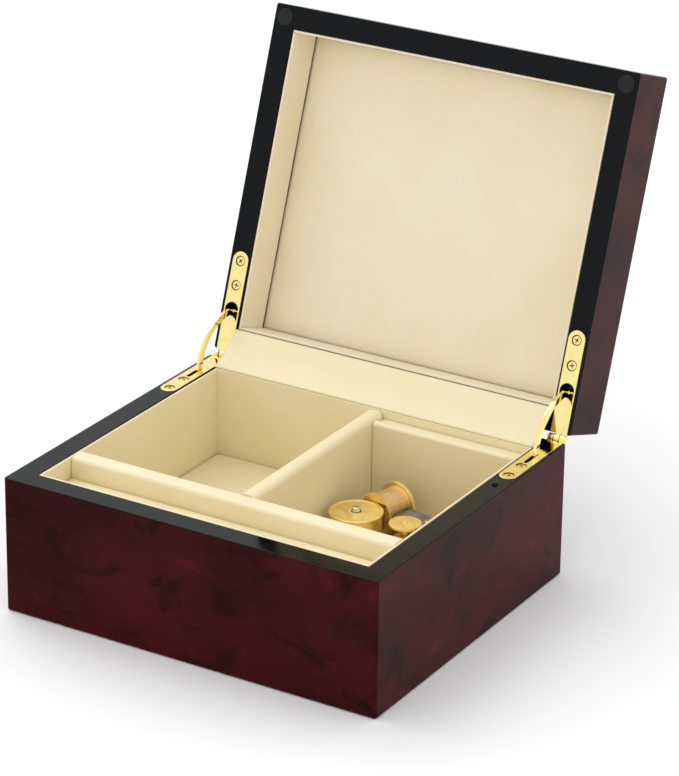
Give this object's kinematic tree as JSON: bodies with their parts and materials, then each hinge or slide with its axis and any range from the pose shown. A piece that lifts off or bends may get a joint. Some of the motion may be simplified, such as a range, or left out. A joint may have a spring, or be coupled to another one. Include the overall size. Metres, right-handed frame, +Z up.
{
  "type": "wind up music box",
  "caption": "Hinged wooden box with a lined interior, brass lid stays and a key-wound comb movement that a pin in the rim stops when the lid shuts.",
  "frame": {"origin": "centre of the case's underside, on the felt", "axes": "+X to the right, +Y to the hinges at the back, +Z up; the lid is stored open"},
  "size_m": [0.203, 0.2677, 0.2375],
  "materials": {
    "veneer": "high gloss dark red burl lacquer, black lacquer on the rims",
    "cream_lining": "smooth cream leatherette over card and foam",
    "gold": "polished gold plate",
    "brass": "satin brass",
    "steel": "ground steel",
    "fibreboard": "plain fibreboard",
    "felt": "black felt",
    "bumper": "matt black"
  },
  "bodies": {
    "base": {"base_front_wall": "veneer", "base_back_wall": "veneer", "base_left_wall": "veneer", "base_right_wall": "veneer", "base_bottom_panel": "fibreboard", "base_felt": "felt", "base_inner_floor": "fibreboard", "base_liner": "cream_lining", "long_divider": "cream_lining", "cross_divider": "cream_lining", "jewelry_floor_pad": "cream_lining", "tray_floor_pad": "cream_lining", "ledge_panel": "cream_lining", "movement_board": "cream_lining", "hinge_flap": "cream_lining", "base_leaf_left": "gold", "base_leaf_right": "gold", "base_screw_left_1": "gold", "base_screw_left_2": "gold", "base_screw_right_1": "gold", "base_screw_right_2": "gold", "movement_bedplate": "brass", "mount_screw_1": "steel", "mount_screw_2": "steel", "cylinder_bracket": "brass", "tuned_comb": "steel", "comb_screw_1": "steel", "comb_screw_2": "steel", "governor_bracket": "brass", "ratchet_click": "steel", "lever_bracket": "brass"},
    "lid": {"lid_front_wall": "veneer", "lid_back_wall": "veneer", "lid_left_wall": "veneer", "lid_right_wall": "veneer", "lid_top_panel": "veneer", "lid_liner": "cream_lining", "lid_floor_pad": "cream_lining", "lid_bumper_left": "bumper", "lid_bumper_right": "bumper", "lid_leaf_left": "gold", "lid_leaf_right": "gold", "lid_screw_left_1": "gold", "lid_screw_left_2": "gold", "lid_screw_right_1": "gold", "lid_screw_right_2": "gold"},
    "stay_left": {"stay_arm_left": "gold"},
    "stay_right": {"stay_arm_right": "gold"},
    "winding": {"winding_arbor": "steel", "wind_key": "brass"},
    "barrel": {"barrel_cup": "brass", "barrel_cap": "brass", "mainspring": "steel"},
    "cylinder": {"music_cylinder": "brass"},
    "governor": {"governor_wheel": "brass"},
    "fan": {"governor_fan": "steel"},
    "stop_pin": {"stop_pin": "steel"},
    "stop_lever": {"stop_lever": "steel"}
  },
  "joints": [
    {"name": "lid_hinge", "type": "hinge", "parent": "base", "child": "lid", "pos_m": [0, 0.0905, 0.0693], "axis": [1, 0, 0], "range_deg": [0, 109.4], "deforming": ["hinge_flap"]},
    {"name": "stay_left_pivot", "type": "hinge", "parent": "lid", "child": "stay_left", "pos_m": [-0.0953, 0.10011, 0.08998], "axis": [1, 0, 0], "range_deg": [-48.2, 0]},
    {"name": "stay_right_pivot", "type": "hinge", "parent": "lid", "child": "stay_right", "pos_m": [0.0953, 0.10011, 0.08998], "axis": [1, 0, 0], "range_deg": [-48.2, 0]},
    {"name": "key_winding", "type": "hinge", "parent": "base", "child": "winding", "pos_m": [0.0252, 0.021, 0.02], "axis": [0, 0, 1], "continuous": true},
    {"name": "barrel_turn", "type": "hinge", "parent": "base", "child": "barrel", "pos_m": [0.0252, 0.021, 0.03], "axis": [0, 0, 1], "continuous": true},
    {"name": "cylinder_turn", "type": "hinge", "parent": "base", "child": "cylinder", "pos_m": [0.02884, 0.04066, 0.0353], "axis": [0.1822, 0.9833, 0], "continuous": true},
    {"name": "governor_turn", "type": "hinge", "parent": "base", "child": "governor", "pos_m": [0.0485, 0.0275, 0.03], "axis": [0, 0, 1], "continuous": true},
    {"name": "fan_turn", "type": "hinge", "parent": "base", "child": "fan", "pos_m": [0.05814, 0.02572, 0.03], "axis": [0, 0, 1], "continuous": true},
    {"name": "stop_slide", "type": "slide", "parent": "base", "child": "stop_pin", "axis": [0, 0, -1], "range_m": [0, 0.001]},
    {"name": "stop_lever_turn", "type": "hinge", "parent": "base", "child": "stop_lever", "pos_m": [0.0815, 0.0293, 0.025], "axis": [0, 1, 0], "range_deg": [0, 4.1]}
  ],
  "couplings": [
    {"joint": "stay_left_pivot", "follows": "lid_hinge", "ratio": -0.44},
    {"joint": "stay_right_pivot", "follows": "lid_hinge", "ratio": -0.44},
    {"joint": "stop_slide", "follows": "lid_hinge", "m_per_rad": 0.0005},
    {"joint": "stop_lever_turn", "follows": "lid_hinge", "ratio": 0.036765},
    {"joint": "cylinder_turn", "follows": "barrel_turn", "ratio": 1.4531},
    {"joint": "governor_turn", "follows": "barrel_turn", "ratio": -1.5238},
    {"joint": "fan_turn", "follows": "barrel_turn", "ratio": 7.5238}
  ]
}
